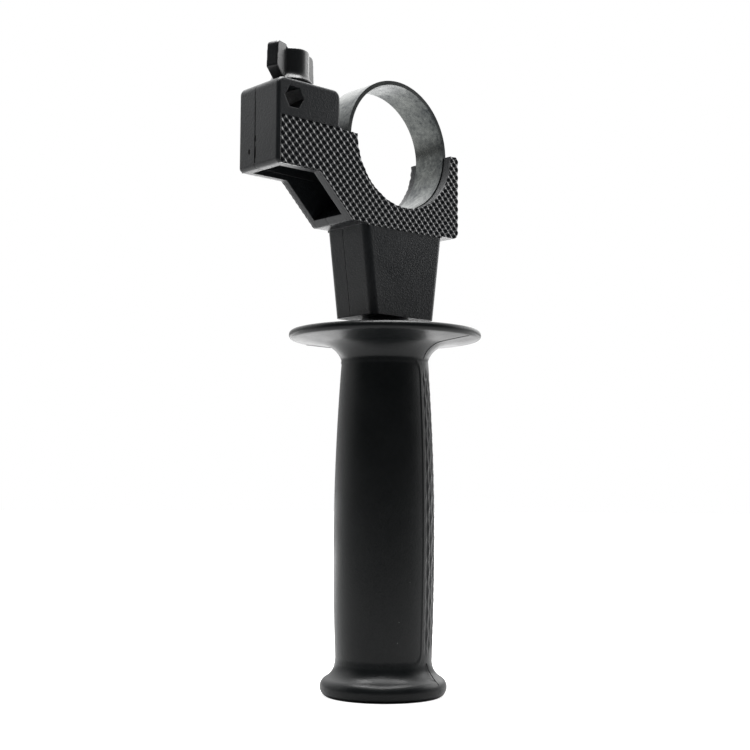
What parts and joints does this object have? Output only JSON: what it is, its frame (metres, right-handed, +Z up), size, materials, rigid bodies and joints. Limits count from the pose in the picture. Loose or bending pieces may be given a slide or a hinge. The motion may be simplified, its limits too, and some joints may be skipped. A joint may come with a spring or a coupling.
{
  "type": "power tool side handle",
  "caption": "Side handle with a clamp band, two-shell bracket, depth rod guide with wing knob, and a turning grip with a hand guard flange.",
  "frame": {"origin": "centre of the flat face under the grip's foot, on the grip's axis", "axes": "+Z up along the grip's axis towards the clamp ring; +X along the bracket towards its plain end, away from the rod guide; +Y along the axis of the clamp ring, towards the rear shell"},
  "size_m": [0.0885, 0.066, 0.2127],
  "materials": {
    "grip_rubber": "matte black moulded rubber",
    "housing_plastic": "satin black filled nylon",
    "knob_plastic": "satin black moulded plastic",
    "band_steel": "galvanised strip, slightly mottled",
    "plated_steel": "zinc plated",
    "insert_brass": "turned brass"
  },
  "bodies": {
    "bracket": {"front_housing": "housing_plastic", "rear_housing": "housing_plastic", "housing_screw_box": "plated_steel", "housing_screw_end": "plated_steel", "housing_screw_left": "plated_steel", "housing_screw_right": "plated_steel"},
    "handgrip": {"grip": "grip_rubber", "grip_nut": "plated_steel", "thrust_washer": "plated_steel"},
    "clamp": {"clamp_band": "band_steel", "clamp_bolt": "plated_steel"},
    "wedge": {"clamp_stud": "plated_steel"},
    "knob": {"wing_knob": "knob_plastic", "knob_insert": "insert_brass", "knob_washer": "plated_steel"}
  },
  "joints": [
    {"name": "grip_turn", "type": "hinge", "parent": "bracket", "child": "handgrip", "pos_m": [0, 0, 0.1254], "axis": [0, 0, 1], "range_deg": [-1150, 0]},
    {"name": "band_slide", "type": "slide", "parent": "bracket", "child": "clamp", "axis": [0, 0, 1], "range_m": [0, 0.004]},
    {"name": "knob_turn", "type": "hinge", "parent": "bracket", "child": "knob", "pos_m": [-0.04255, 0, 0.2], "axis": [0, 0, 1], "range_deg": [-358, 0]},
    {"name": "wedge_slide", "type": "slide", "parent": "bracket", "child": "wedge", "axis": [0, 0, 1], "range_m": [0, 0.001]}
  ],
  "couplings": [
    {"joint": "band_slide", "follows": "grip_turn", "m_per_rad": -0.00019894},
    {"joint": "wedge_slide", "follows": "knob_turn", "m_per_rad": -0.00015915}
  ]
}
